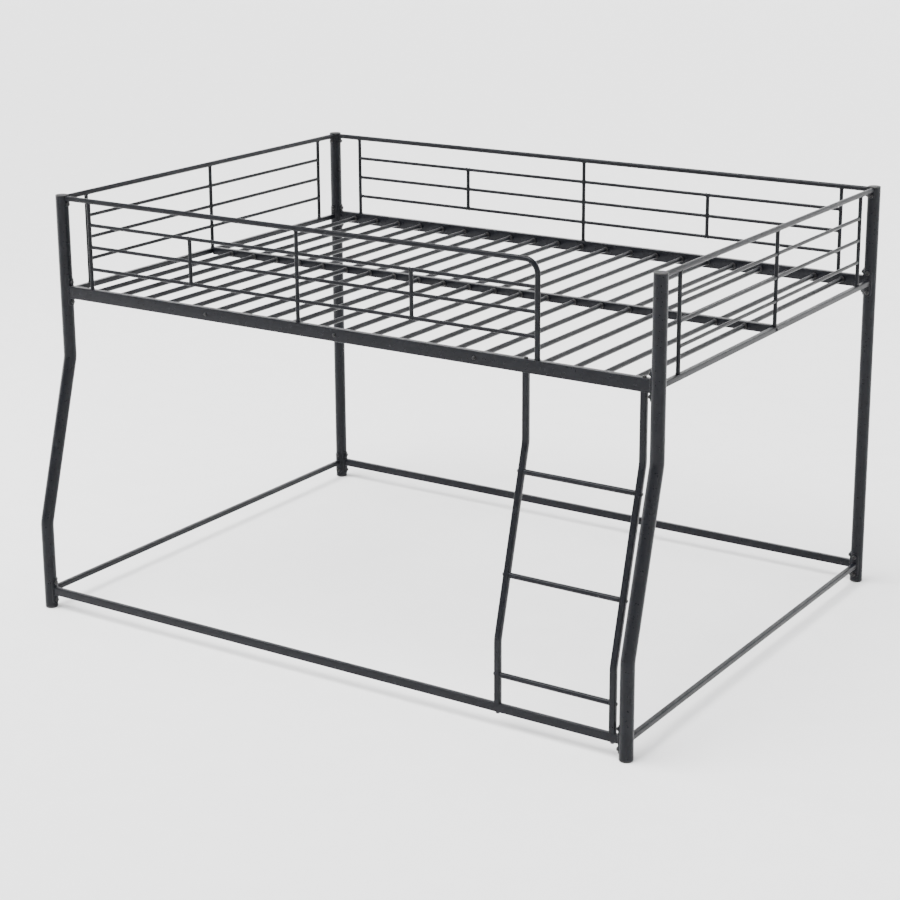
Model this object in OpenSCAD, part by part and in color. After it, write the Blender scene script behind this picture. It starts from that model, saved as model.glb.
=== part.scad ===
// Bunk bed with ladder: a knock-down frame of powder-coated steel tube.
// An upper bunk with guards all round stands on four posts. The front posts and the
// ladder bend forward, so that the lower bunk, an open floor frame, is wider.
// X runs along the bed, Y from front to back and Z up. The origin is on the floor,
// in the middle of the bed.

/* [Frame] */
// Distance between post centres along the bed
frame_l = 2070; // [1700:5:2600]
// Distance between upper post centres across the bed
frame_w = 1430; // [1100:5:1800]
// How far the front feet stand forward of the upper front posts
foot_out = 144; // [80:2:200]
// Height of the posts with their caps
frame_h = 1306; // [1080:2:1700]
// Drop from the top of the posts to the middle of the upper rails
deck_drop = 305; // [290:1:400]

/* [Posts] */
// Outside diameter of a post
post_d = 40; // [32:1:50]
// Wall of a post
post_wall = 1.5; // [1.2:0.1:2.5]
// Centreline radius of the bends in the front posts
post_bend_r = 80; // [60:5:140]
// Height of the lower bend of a front post
low_bend_z = 281; // [220:1:320]
// Drop from the upper rails to the upper bend of a front post
high_bend_drop = 211; // [160:1:260]
// Thickness of the cap that shows on a post
cap_t = 3; // [2:0.5:6]
// Height of the foot that shows under a post
foot_t = 6; // [4:0.5:8]
// Wall of the caps and feet inside a post
plug_wall = 2; // [1.5:0.5:3]
// How far a cap or a foot reaches into a post
plug_depth = 12; // [8:1:13]

/* [Rails] */
// Height of the upper side rails
side_rail_h = 38; // [30:1:40]
// Width of the upper side rails
side_rail_w = 20; // [16:1:24]
// Side of the square upper end rails
end_rail_s = 16; // [12:1:20]
// Height of the beam along the middle of the deck
beam_h = 24; // [20:1:34]
// Width of the beam along the middle of the deck
beam_w = 20; // [18:1:30]
// Height of the front and back floor rails
floor_rail_h = 25; // [20:1:30]
// Width of the front and back floor rails
floor_rail_w = 15; // [12:1:20]
// Side of the square floor rails at the ends
floor_end_s = 16; // [12:1:20]
// Height of the middle of the floor rails
floor_rail_z = 57; // [52:1:90]
// Wall of every rail
rail_wall = 1.2; // [1:0.1:2]

/* [Brackets] */
// Thickness of the saddle plates
plate_t = 2.5; // [2:0.5:4]
// Width of the saddle plates on the rails
plate_w = 26; // [22:1:28]
// Distance from the middle of an upper rail to each of its bolts
upper_bolt_drop = 31; // [30:1:36]
// Distance from the middle of a floor rail to each of its bolts
floor_bolt_drop = 29; // [26:1:30]
// Width of the tabs on the guard ends
tab_w = 18; // [16:1:22]
// Diameter of the vent hole behind the end of each rail
vent_d = 6; // [5:0.5:8]
// Clearance between faces that are bolted together
seat_gap = 0.1; // [0.05:0.05:0.3]

/* [Guards] */
// Diameter of the top tube of a guard
guard_top_d = 16; // [14:1:20]
// Diameter of the upright bars of a guard
guard_post_d = 12; // [10:1:14]
// Diameter of the long bars of a guard
guard_bar_d = 11; // [8:1:12]
// Drop from the top of the posts to the middle of the top tube
guard_top_drop = 10.5; // [10:0.5:20]
// Distance between the top tube and the highest long bar
guard_first_gap = 73.5; // [60:0.5:80]
// Distance between the long bars
guard_pitch = 69; // [50:1:75]
// Number of long bars
guard_bars = 3; // [1:1:3]
// Distance from a post to the nearest upright bar
guard_end_gap = 108; // [80:1:140]
// Distance between the upright bars of the front guard
front_bay = 396; // [250:1:400]
// Distance from the right front post to the bent end of the front guard
ladder_gap = 367; // [340:1:460]
// Centreline radius of the bent end of the front guard
guard_bend_r = 40; // [30:1:50]
// Drop from a guard's top tube to the bolt in its end tab
guard_bolt_drop = 17.5; // [15:0.5:20]
// Wall of the guard tubes
guard_wall = 1.2; // [0.8:0.1:1.6]

/* [Slats] */
// Number of slats along the bed
slat_count = 21; // [13:4:21]
// Outside diameter of a slat
slat_d = 15; // [12:1:16]
// Wall of a slat
slat_wall = 1; // [0.8:0.1:1.5]
// Distance from a post to the nearest slat
slat_end_gap = 90; // [60:1:120]
// Outside diameter of the collar of a slat plug
collar_d = 19; // [18:1:24]
// Length of the collar of a slat plug
collar_l = 12; // [9:1:20]
// Thickness of the collar's base, which the slat rests on
collar_base = 3; // [2:0.5:5]
// Diameter of the spigot of a slat plug
spigot_d = 10; // [9:0.5:12]
// Length of the spigot of a slat plug
spigot_l = 7; // [4:0.5:8]

/* [Ladder] */
// Distance between the stiles
ladder_w = 360; // [300:5:420]
// Distance from the right stile to the right front post
stile_to_post = 42; // [40:1:60]
// Width of a stile, seen from the front
stile_w = 19; // [16:1:22]
// Depth of a stile, seen from the side
stile_depth = 15; // [14:1:20]
// Corner radius of a stile
stile_corner_r = 3; // [2:0.5:4]
// Wall of a stile
stile_wall = 1.2; // [1:0.1:1.8]
// Centreline radius of the stiles' bends
stile_bend_r = 70; // [60:5:140]
// Height of the lower bend of a stile
stile_low_bend_z = 256; // [220:1:300]
// Drop from the upper rails to the upper bend of a stile
stile_high_bend_drop = 216; // [160:1:260]
// Number of rungs
rung_count = 3; // [2:1:4]
// Diameter of a rung
rung_d = 16; // [14:1:25]
// Wall of a rung
rung_wall = 1.2; // [1:0.1:2]
// Height of the lowest rung
first_rung_z = 155; // [130:1:200]

/* [Fasteners] */
// Diameter of the bolts into the posts and stiles
bolt_d = 8; // [6:1:8]
// Diameter of the head of those bolts
bolt_head_d = 13; // [12:0.5:14]
// Height of the head of those bolts
bolt_head_h = 5; // [4:0.5:6]
// Outside diameter of the nuts in the posts
nut_d = 11; // [11:0.5:12]
// Length of the nuts in the posts
nut_l = 12; // [8:1:13]
// Diameter of the slim bolts in the slats, beam and rungs
slim_bolt_d = 6; // [4:1:6]
// Diameter of the head of the slim bolts
slim_head_d = 10; // [9:0.5:12]
// Height of the head of the slim bolts
slim_head_h = 3.5; // [2.5:0.5:5]
// Clearance round a bolt in its hole
hole_gap = 0.4; // [0.2:0.1:0.6]
// Clearance round a thread or a plug
fit_gap = 0.1; // [0.05:0.05:0.3]

/* [Hidden] */
$fn = 48;
cut = 1;
post_sides = 40;
seat_sides = 96;
bend_steps = 6;

foot_w = frame_w + foot_out;
back_y = foot_w / 2;
front_y = back_y - frame_w;
foot_y = -back_y;
deck_y = (back_y + front_y) / 2;
post_x = frame_l / 2;
post_r = post_d / 2;
seat_r = post_r + seat_gap;
saddle_r = seat_r + plate_t;
// A nut's flat face stands just inside the post where its rim meets the round
nut_face = sqrt(pow(post_r, 2) - pow(nut_d / 2, 2)) - fit_gap;
head_seat = saddle_r + seat_gap;
rail_z = frame_h - deck_drop;
side_rail_top = rail_z + side_rail_h / 2;
side_rail_bottom = rail_z - side_rail_h / 2;
end_rail_top = rail_z + end_rail_s / 2;
floor_rail_top = floor_rail_z + floor_rail_h / 2;
high_bend_z = rail_z - high_bend_drop;
stile_high_bend_z = rail_z - stile_high_bend_drop;

guard_top_z = frame_h - guard_top_drop;
guard_bolt_z = guard_top_z - guard_bolt_drop;
tab_top_z = guard_top_z + guard_top_d / 4;
guard_bar_z = [for (i = [0:guard_bars - 1]) guard_top_z - guard_first_gap - i * guard_pitch];
front_guard_x = [for (i = [0:3]) -post_x + guard_end_gap + i * front_bay];
front_guard_end = post_x - ladder_gap;
side_guard_end = post_x - guard_end_gap;
end_guard_end = frame_w / 2 - guard_end_gap;

slat_pitch = (frame_l - 2 * slat_end_gap) / (slat_count - 1);
tie_slats = [for (k = [1:3]) round((slat_count - 1) * k / 4) + 1];
rail_face = side_rail_w / 2;
beam_face = beam_w / 2;
slat_row_l = frame_w / 2 - rail_face - beam_face;
slat_l = slat_row_l - 2 * (collar_base + fit_gap);
tie_insert_l = 15;
tie_bolt_l = side_rail_w + collar_base + tie_insert_l;

right_stile_x = post_x - stile_to_post;
left_stile_x = right_stile_x - ladder_w;
stile_foot_z = floor_rail_top + seat_gap;
stile_top_z = side_rail_bottom - seat_gap;
end_plate_t = 3;
stile_nut_d = min(13, stile_depth - 2 * stile_wall - 2 * fit_gap);
stile_nut_l = 8;
rung_pitch = (side_rail_bottom - first_rung_z) / rung_count;
rung_l = ladder_w - stile_w - 2 * seat_gap;
rung_insert_l = 15;
rung_bolt_l = stile_w + rung_insert_l;
beam_l = frame_l - end_rail_s - 2 * seat_gap;
beam_nut_d = 10;
beam_nut_l = 6;
beam_bolt_l = end_rail_s + end_plate_t + beam_nut_l;
// Shares of a bolt's head and diameter that shape the head's top and its hexagon socket
head_top_share = 0.7;
socket_share = 0.7;
socket_floor_share = 0.4;

steel = [0.13, 0.13, 0.14];
dark_plastic = [0.06, 0.06, 0.07];
fixing_black = [0.09, 0.09, 0.1];

// The four posts, as the side of the bed in X and in Y that each stands on
front_left = [-1, -1];
front_right = [1, -1];
back_left = [-1, 1];
back_right = [1, 1];
POSTS = [front_left, front_right, back_left, back_right];
// The two ways that a rail leaves a post
ALONG = true;
ACROSS = false;

function rung_name(i) = str("ladder_rung_", i);
function slat_name(i) = str("slat_", i < 10 ? "0" : "", i);
function slat_x(i) = -post_x + slat_end_gap + (i - 1) * slat_pitch;

// Where a post stands in Y at a height clear of its bends
function post_y(side, z) = side[1] > 0 ? back_y : z < high_bend_z ? foot_y : front_y;

// How far back from its foot a bent tube stands at height z. The tube rises, turns back
// by the bend angle at low_z and turns upright again at high_z, on arcs of radius r.
function bend_angle(low_z, high_z) = atan(foot_out / (high_z - low_z));
function bend_reach(low_z, high_z, r) = r * tan(bend_angle(low_z, high_z) / 2);
function bend_offset(z, low_z, high_z, r) =
    let (t = bend_reach(low_z, high_z, r), rise = t * cos(bend_angle(low_z, high_z)))
    z <= low_z - t ? 0
    : z < low_z + rise ? r - sqrt(r * r - pow(z - low_z + t, 2))
    : z <= high_z - rise ? foot_out * (z - low_z) / (high_z - low_z)
    : z < high_z + t ? foot_out - r + sqrt(r * r - pow(high_z + t - z, 2))
    : foot_out;
function stile_y(z) = foot_y + bend_offset(z, stile_low_bend_z, stile_high_bend_z, stile_bend_r);

// ---- Shared shapes ----

module ring_section(d, wall) {
    difference() {
        circle(d = d);
        circle(d = d - 2 * wall);
    }
}

module rounded_section(w, h, r) {
    square([w - 2 * r, h], center = true);
    square([w, h - 2 * r], center = true);
    for (sx = [-1, 1], sy = [-1, 1])
        translate([sx * (w / 2 - r), sy * (h / 2 - r)]) circle(r = r, $fn = 24);
}

// Outlines as lists of points, anticlockwise
function circle_points(d, n) = [for (i = [0:n - 1]) d / 2 * [cos(360 * i / n), sin(360 * i / n)]];
function rounded_points(w, h, r, n) =
    [for (q = [0:3], i = [0:n])
        let (corner = 90 * q, a = corner + 90 * i / n,
             sx = q == 0 || q == 3 ? 1 : -1, sy = q < 2 ? 1 : -1)
        [sx * (w / 2 - r) + r * cos(a), sy * (h / 2 - r) + r * sin(a)]];

// The stations of a tube that rises from bottom_z to top_z and is bent back by foot_out
// between low_z and high_z, on arcs of radius r: [y, z, lean] for each
function bend_stations(bottom_z, top_z, low_z, high_z, r) =
    let (angle = bend_angle(low_z, high_z), reach = bend_reach(low_z, high_z, r))
    concat([[0, bottom_z, 0]],
           [for (k = [0:bend_steps]) let (a = angle * k / bend_steps)
               [r * (1 - cos(a)), low_z - reach + r * sin(a), a]],
           [for (k = [bend_steps:-1:0]) let (a = angle * k / bend_steps)
               [foot_out - r * (1 - cos(a)), high_z + reach - r * sin(a), a]],
           [[foot_out, top_z, 0]]);

// The wall between an outer and an inner outline, carried along the stations. Each
// outline's first coordinate stays on X and its second leans with the tube.
module bent_tube(outer, inner, stations) {
    n = len(outer);
    rings = len(stations);
    points = [for (outline = [outer, inner], s = stations, p = outline)
        [p[0], s[0] + p[1] * cos(s[2]), s[1] - p[1] * sin(s[2])]];
    wall_faces = [for (k = [0:rings - 2], i = [0:n - 1])
        let (j = (i + 1) % n) [k * n + i, (k + 1) * n + i, (k + 1) * n + j, k * n + j]];
    bore = rings * n;
    bore_faces = [for (f = wall_faces) [f[3] + bore, f[2] + bore, f[1] + bore, f[0] + bore]];
    top = (rings - 1) * n;
    end_faces = [for (i = [0:n - 1]) let (j = (i + 1) % n)
        each [[i, j, bore + j, bore + i], [top + bore + i, top + bore + j, top + j, top + i]]];
    polyhedron(points, concat(wall_faces, bore_faces, end_faces));
}

// A hollow bar of width w and height h, lying along X and centred on the origin
module box_tube(l, w, h, wall) {
    difference() {
        cube([l, w, h], center = true);
        cube([l + cut, w - 2 * wall, h - 2 * wall], center = true);
    }
}

// A round bar or tube from the origin to l along X
module round_bar(l, d) {
    rotate([0, 90, 0]) cylinder(h = l, d = d);
}

// Turns its children, drawn round a post's axis at the origin, to face the rails of that
// post: +Z leaves the post along the rail and X is upright.
module facing(side, way, z) {
    translate([side[0] * post_x, post_y(side, z), z])
        if (way == ALONG) rotate([0, -side[0] * 90, 0]) children();
        else rotate([side[1] * 90, 0, 0]) rotate(90) children();
}

// A plate curved to the post, with a round-ended outline, a hole for each bolt and a vent
// hole into the rail
module saddle_plate(bolt_drop, w) {
    difference() {
        intersection() {
            rotate([0, 90, 0]) cylinder(h = 2 * bolt_drop + w, r = saddle_r, center = true, $fn = seat_sides);
            union() {
                translate([-bolt_drop, -w / 2, 0]) cube([2 * bolt_drop, w, saddle_r]);
                for (s = [-1, 1]) translate([s * bolt_drop, 0, 0]) cylinder(h = saddle_r, d = w);
            }
        }
        rotate([0, 90, 0]) cylinder(h = 2 * bolt_drop + w + cut, r = seat_r, center = true, $fn = seat_sides);
        for (s = [-1, 1]) translate([s * bolt_drop, 0, 0])
            cylinder(h = saddle_r + cut, d = bolt_d + hole_gap);
        cylinder(h = saddle_r + cut, d = vent_d);
    }
}

// Cuts the ends of its child back to the round seats of the two posts named
module between_posts(sides, z) {
    difference() {
        children();
        for (side = sides) translate([side[0] * post_x, post_y(side, z), z])
            cylinder(h = frame_h, r = seat_r, center = true, $fn = seat_sides);
    }
}

// A button-head bolt whose head sits on the XY plane and whose shank points down
module bolt(d, l, head_d, head_h) {
    translate([0, 0, -l]) cylinder(h = l, d = d);
    difference() {
        union() {
            cylinder(h = head_h / 2, d = head_d);
            translate([0, 0, head_h / 2]) cylinder(h = head_h / 2, d1 = head_d, d2 = head_d * head_top_share);
        }
        translate([0, 0, head_h * socket_floor_share]) cylinder(h = head_h, d = d * socket_share, $fn = 6);
    }
}

module post_bolt() {
    translate([0, 0, head_seat]) bolt(bolt_d, head_seat - nut_face + nut_l, bolt_head_d, bolt_head_h);
}

module slim_bolt(l) {
    bolt(slim_bolt_d, l, slim_head_d, slim_head_h);
}

module sleeve(l, d, bore) {
    difference() {
        cylinder(h = l, d = d);
        translate([0, 0, -cut]) cylinder(h = l + 2 * cut, d = bore);
    }
}

// ---- Posts ----

// Draws its child at every bolt into the post: the rails' bolts on both faces, and the
// guards' bolts where a guard ends
module at_post_bolts(side) {
    for (way = [ALONG, ACROSS]) {
        for (s = [-1, 1]) {
            facing(side, way, floor_rail_z + s * floor_bolt_drop) children();
            facing(side, way, rail_z + s * upper_bolt_drop) children();
        }
        if (way == ACROSS || side != front_right) facing(side, way, guard_bolt_z) children();
    }
}

module nut_holes(side) {
    at_post_bolts(side) cylinder(h = post_d, d = nut_d + 2 * fit_gap);
}

module front_post(side) {
    color(steel) difference() {
        translate([side[0] * post_x, foot_y, 0])
            bent_tube(circle_points(post_d, post_sides), circle_points(post_d - 2 * post_wall, post_sides),
                      bend_stations(foot_t, frame_h - cap_t, low_bend_z, high_bend_z, post_bend_r));
        nut_holes(side);
    }
}

module back_post(side) {
    color(steel) difference() {
        translate([side[0] * post_x, back_y, foot_t])
            linear_extrude(frame_h - cap_t - foot_t) ring_section(post_d, post_wall);
        nut_holes(side);
    }
}

// The hollow plug of a cap or foot inside the post, standing on the XY plane
module post_plug(l) {
    sleeve(l, post_d - 2 * post_wall - 2 * fit_gap, post_d - 2 * post_wall - 2 * fit_gap - 2 * plug_wall);
}

module post_caps() {
    color(dark_plastic) for (side = POSTS) translate([side[0] * post_x, post_y(side, frame_h), frame_h]) {
        edge = cap_t / 3;
        translate([0, 0, -cap_t]) cylinder(h = cap_t - edge, d = post_d);
        translate([0, 0, -edge]) cylinder(h = edge, d1 = post_d, d2 = post_d - 2 * edge);
        translate([0, 0, -cap_t - plug_depth]) post_plug(plug_depth);
    }
}

module foot(side) {
    color(dark_plastic) translate([side[0] * post_x, post_y(side, 0), 0]) {
        edge = foot_t / 3;
        cylinder(h = edge, d1 = post_d - 2 * edge, d2 = post_d);
        translate([0, 0, edge]) cylinder(h = foot_t - edge, d = post_d);
        translate([0, 0, foot_t]) post_plug(plug_depth);
    }
}

// ---- Rails ----

// Plug holes in one wall of a side rail, from the middle of the rail towards the deck
module plug_holes(length) {
    for (i = [1:slat_count]) translate([slat_x(i), 0, 0])
        rotate([-90, 0, 0]) cylinder(h = length, d = spigot_d + 2 * fit_gap, $fn = 32);
}

// The upper rail on the side of the bed that way points to: -1 is the front
module side_rail(way) {
    sides = [[-1, way], [1, way]];
    y = way < 0 ? front_y : back_y;
    color(steel) {
        difference() {
            between_posts(sides, rail_z)
                translate([0, y, rail_z]) box_tube(frame_l - post_r, side_rail_w, side_rail_h, rail_wall);
            translate([0, y, rail_z]) rotate(way < 0 ? 0 : 180) plug_holes(side_rail_w);
            for (i = tie_slats) translate([slat_x(i), y, rail_z]) rotate([-way * 90, 0, 0])
                cylinder(h = side_rail_w, d = slim_bolt_d + hole_gap);
            if (way < 0) for (x = [left_stile_x, right_stile_x]) translate([x, y, rail_z])
                cylinder(h = side_rail_h + cut, d = bolt_d + hole_gap, center = true);
        }
        for (side = sides) facing(side, ALONG, rail_z) saddle_plate(upper_bolt_drop, plate_w);
    }
}

// The upper rail across the end of the bed that way points to: -1 is the left
module end_rail(way) {
    sides = [[way, -1], [way, 1]];
    color(steel) {
        difference() {
            between_posts(sides, rail_z) translate([way * post_x, deck_y, rail_z]) rotate(90)
                box_tube(frame_w - post_r, end_rail_s, end_rail_s, rail_wall);
            translate([way * post_x, deck_y, rail_z])
                rotate([0, 90, 0]) cylinder(h = end_rail_s + cut, d = slim_bolt_d + hole_gap, center = true);
        }
        for (side = sides) facing(side, ACROSS, rail_z) saddle_plate(upper_bolt_drop, plate_w);
    }
}

module deck_beam() {
    color(steel) translate([0, deck_y, rail_z]) {
        difference() {
            box_tube(beam_l, beam_w, beam_h, rail_wall);
            translate([0, -beam_w, 0]) plug_holes(2 * beam_w);
        }
        for (way = [-1, 1]) translate([way * beam_l / 2, 0, 0]) rotate([0, -way * 90, 0]) {
            difference() {
                translate([-beam_h / 2, -beam_w / 2, 0]) cube([beam_h, beam_w, end_plate_t]);
                cylinder(h = 3 * end_plate_t, d = slim_bolt_d + hole_gap, center = true);
            }
            translate([0, 0, end_plate_t]) sleeve(beam_nut_l, beam_nut_d, slim_bolt_d + 2 * fit_gap);
        }
    }
}

// The long floor rail on the side that way points to: -1 is the front, under the ladder
module floor_side_rail(way) {
    sides = [[-1, way], [1, way]];
    color(steel) {
        difference() {
            between_posts(sides, floor_rail_z) translate([0, way * back_y, floor_rail_z])
                box_tube(frame_l - post_r, floor_rail_w, floor_rail_h, rail_wall);
            if (way < 0) for (x = [left_stile_x, right_stile_x]) translate([x, foot_y, floor_rail_z])
                cylinder(h = floor_rail_h + cut, d = bolt_d + hole_gap, center = true);
        }
        for (side = sides) facing(side, ALONG, floor_rail_z) saddle_plate(floor_bolt_drop, plate_w);
    }
}

module floor_end_rail(way) {
    sides = [[way, -1], [way, 1]];
    color(steel) {
        between_posts(sides, floor_rail_z) translate([way * post_x, 0, floor_rail_z]) rotate(90)
            box_tube(foot_w - post_r, floor_end_s, floor_end_s, rail_wall);
        for (side = sides) facing(side, ACROSS, floor_rail_z) saddle_plate(floor_bolt_drop, plate_w);
    }
}

// ---- Guards ----

// The tab on the end of a guard's top tube: a plate curved to the post, round below and
// welded round the tube above
module guard_tab(side, way) {
    difference() {
        intersection() {
            translate([side[0] * post_x, post_y(side, frame_h), 0])
                cylinder(h = frame_h, r = saddle_r, $fn = seat_sides);
            union() {
                facing(side, way, guard_bolt_z) cylinder(h = saddle_r, d = tab_w);
                facing(side, way, (guard_bolt_z + tab_top_z) / 2)
                    translate([(guard_bolt_z - tab_top_z) / 2, -tab_w / 2, 0])
                        cube([tab_top_z - guard_bolt_z, tab_w, saddle_r]);
            }
        }
        translate([side[0] * post_x, post_y(side, frame_h), 0])
            cylinder(h = frame_h, r = seat_r, $fn = seat_sides);
        facing(side, way, guard_bolt_z) cylinder(h = saddle_r + cut, d = bolt_d + hole_gap);
    }
}

// A guard is welded tube. Its tubes are drawn twice, whole and then as their bores, which
// thin says by how much to slim them. The uprights stand on the rail at foot_z: full ones
// reach the top tube, short ones join the long bars.
module full_upright(foot_z, thin) {
    low_z = foot_z - min(thin, cut);
    translate([0, 0, low_z]) cylinder(h = guard_top_z - low_z, d = guard_post_d - thin);
}

module short_upright(thin) {
    low_z = guard_bar_z[guard_bars - 1];
    translate([0, 0, low_z]) cylinder(h = guard_bar_z[0] - low_z, d = guard_post_d - thin);
}

module welded_tubes() {
    color(steel) difference() {
        children(0);
        children(1);
    }
}

module guard_back_tubes(thin) {
    translate([-post_x, back_y, guard_top_z]) round_bar(frame_l, guard_top_d - thin);
    for (z = guard_bar_z) translate([-side_guard_end, back_y, z])
        round_bar(2 * side_guard_end, guard_bar_d - thin);
    for (x = [-side_guard_end, 0, side_guard_end])
        translate([x, back_y, 0]) full_upright(side_rail_top + seat_gap, thin);
    for (x = [-side_guard_end / 2, side_guard_end / 2]) translate([x, back_y, 0]) short_upright(thin);
}

module guard_back() {
    sides = [back_left, back_right];
    welded_tubes() {
        between_posts(sides, guard_top_z) guard_back_tubes(0);
        guard_back_tubes(2 * guard_wall);
    }
    color(steel) for (side = sides) guard_tab(side, ALONG);
}

module guard_front_tubes(thin) {
    foot_z = side_rail_top + seat_gap;
    low_z = foot_z - min(thin, cut);
    bend_x = front_guard_end - guard_bend_r;
    bend_z = guard_top_z - guard_bend_r;
    translate([-post_x, front_y, guard_top_z]) round_bar(post_x + bend_x, guard_top_d - thin);
    translate([bend_x, front_y, bend_z]) rotate([90, 0, 0])
        rotate_extrude(angle = 90, $fn = seat_sides)
            translate([guard_bend_r, 0]) circle(d = guard_top_d - thin);
    translate([front_guard_end, front_y, low_z]) cylinder(h = bend_z - low_z, d = guard_top_d - thin);
    for (z = guard_bar_z) translate([front_guard_x[0], front_y, z])
        round_bar(front_guard_end - front_guard_x[0], guard_bar_d - thin);
    for (i = [0, 2]) translate([front_guard_x[i], front_y, 0]) full_upright(foot_z, thin);
    for (i = [1, 3]) translate([front_guard_x[i], front_y, 0]) short_upright(thin);
}

module guard_front() {
    welded_tubes() {
        between_posts([front_left], guard_top_z) guard_front_tubes(0);
        guard_front_tubes(2 * guard_wall);
    }
    color(steel) guard_tab(front_left, ALONG);
}

module end_guard_tubes(way, thin) {
    translate([way * post_x, front_y, guard_top_z]) rotate(90) round_bar(frame_w, guard_top_d - thin);
    for (z = guard_bar_z) translate([way * post_x, deck_y - end_guard_end, z])
        rotate(90) round_bar(2 * end_guard_end, guard_bar_d - thin);
    for (y = [-end_guard_end, 0, end_guard_end])
        translate([way * post_x, deck_y + y, 0]) full_upright(end_rail_top + seat_gap, thin);
}

module end_guard(way) {
    sides = [[way, -1], [way, 1]];
    welded_tubes() {
        between_posts(sides, guard_top_z) end_guard_tubes(way, 0);
        end_guard_tubes(way, 2 * guard_wall);
    }
    color(steel) for (side = sides) guard_tab(side, ACROSS);
}

// ---- Slats ----

// Draws its child at the start of each slat in a row, turned so that +Z runs along the
// slat into the row. The front row starts on the front rail, the back row on the beam.
module at_slat(i, start_y, way) {
    translate([slat_x(i), start_y, rail_z]) rotate([-way * 90, 0, 0]) children();
}

front_rail_face = front_y + rail_face;
back_rail_face = back_y - rail_face;
beam_front_face = deck_y - beam_face;
beam_back_face = deck_y + beam_face;

module slat(i) {
    color(steel) for (start_y = [front_rail_face, beam_back_face])
        at_slat(i, start_y, 1) translate([0, 0, collar_base + fit_gap])
            linear_extrude(slat_l) ring_section(slat_d, slat_wall);
}

module slat_plug() {
    difference() {
        union() {
            translate([0, 0, fit_gap]) cylinder(h = collar_l - fit_gap, d = collar_d);
            translate([0, 0, -spigot_l]) cylinder(h = spigot_l + cut, d = spigot_d);
        }
        translate([0, 0, collar_base]) cylinder(h = collar_l, d = slat_d + 2 * fit_gap);
        translate([0, 0, -spigot_l - cut]) cylinder(h = collar_l + spigot_l, d = slim_bolt_d + hole_gap);
    }
}

module slat_plugs() {
    color(dark_plastic) for (i = [1:slat_count]) {
        at_slat(i, front_rail_face, 1) slat_plug();
        at_slat(i, beam_front_face, -1) slat_plug();
        at_slat(i, beam_back_face, 1) slat_plug();
        at_slat(i, back_rail_face, -1) slat_plug();
    }
}

module slat_tie_bolts() {
    color(fixing_black) for (i = tie_slats) {
        at_slat(i, front_y - rail_face - seat_gap, -1) slim_bolt(tie_bolt_l);
        at_slat(i, back_y + rail_face + seat_gap, 1) slim_bolt(tie_bolt_l);
    }
}

module slat_tie_inserts() {
    color(fixing_black) for (i = tie_slats, start = [[front_rail_face, 1], [back_rail_face, -1]])
        at_slat(i, start[0], start[1]) translate([0, 0, collar_base + fit_gap])
            sleeve(tie_insert_l, slat_d - 2 * slat_wall - 2 * fit_gap, slim_bolt_d + 2 * fit_gap);
}

// ---- Ladder ----

// A stile with a plate and a welded nut closing each end
module ladder_stile(x) {
    color(steel) translate([x, 0, 0]) {
        difference() {
            translate([0, foot_y, 0])
                bent_tube(rounded_points(stile_w, stile_depth, stile_corner_r, 4),
                          rounded_points(stile_w - 2 * stile_wall, stile_depth - 2 * stile_wall,
                                         stile_corner_r - stile_wall, 4),
                          bend_stations(stile_foot_z, stile_top_z, stile_low_bend_z, stile_high_bend_z,
                                        stile_bend_r));
            for (i = [1:rung_count]) translate([0, stile_y(rung_z(i)), rung_z(i)])
                rotate([0, 90, 0]) cylinder(h = stile_w + cut, d = slim_bolt_d + hole_gap, center = true);
        }
        translate([0, foot_y, stile_foot_z]) stile_end();
        translate([0, front_y, stile_top_z]) mirror([0, 0, 1]) stile_end();
    }
}

// The plate sits in the mouth of the tube, with its edge inside the wall
module stile_end() {
    difference() {
        union() {
            linear_extrude(end_plate_t)
                rounded_section(stile_w - stile_wall, stile_depth - stile_wall,
                                stile_corner_r - stile_wall / 2);
            cylinder(h = end_plate_t + stile_nut_l, d = stile_nut_d);
        }
        translate([0, 0, -cut]) cylinder(h = end_plate_t + stile_nut_l + 2 * cut, d = bolt_d + 2 * fit_gap);
    }
}

function rung_z(i) = first_rung_z + (i - 1) * rung_pitch;

module at_rung(i, x) {
    translate([x, stile_y(rung_z(i)), rung_z(i)]) children();
}

// A tube with a threaded insert welded into each end
module ladder_rung(i) {
    color(steel) at_rung(i, left_stile_x + stile_w / 2 + seat_gap) rotate([0, 90, 0]) {
        linear_extrude(rung_l) ring_section(rung_d, rung_wall);
        for (z = [0, rung_l - rung_insert_l]) translate([0, 0, z])
            sleeve(rung_insert_l, rung_d - rung_wall, slim_bolt_d + 2 * fit_gap);
    }
}

module rung_bolts() {
    reach = stile_w / 2 + seat_gap;
    color(fixing_black) for (i = [1:rung_count]) {
        at_rung(i, left_stile_x - reach) rotate([0, -90, 0]) slim_bolt(rung_bolt_l);
        at_rung(i, right_stile_x + reach) rotate([0, 90, 0]) slim_bolt(rung_bolt_l);
    }
}

module stile_top_bolts() {
    color(fixing_black) for (x = [left_stile_x, right_stile_x])
        translate([x, front_y, side_rail_top + seat_gap])
            bolt(bolt_d, side_rail_h + end_plate_t + stile_nut_l, bolt_head_d, bolt_head_h);
}

module stile_foot_bolts() {
    color(fixing_black) for (x = [left_stile_x, right_stile_x])
        translate([x, foot_y, floor_rail_z - floor_rail_h / 2 - seat_gap]) mirror([0, 0, 1])
            bolt(bolt_d, floor_rail_h + end_plate_t + stile_nut_l, bolt_head_d, bolt_head_h);
}

// ---- Fasteners ----

module rail_bolts(z, drop) {
    color(fixing_black) for (side = POSTS, way = [ALONG, ACROSS], s = [-1, 1])
        facing(side, way, z + s * drop) post_bolt();
}

module upper_rail_bolts() {
    rail_bolts(rail_z, upper_bolt_drop);
}

module floor_rail_bolts() {
    rail_bolts(floor_rail_z, floor_bolt_drop);
}

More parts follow.
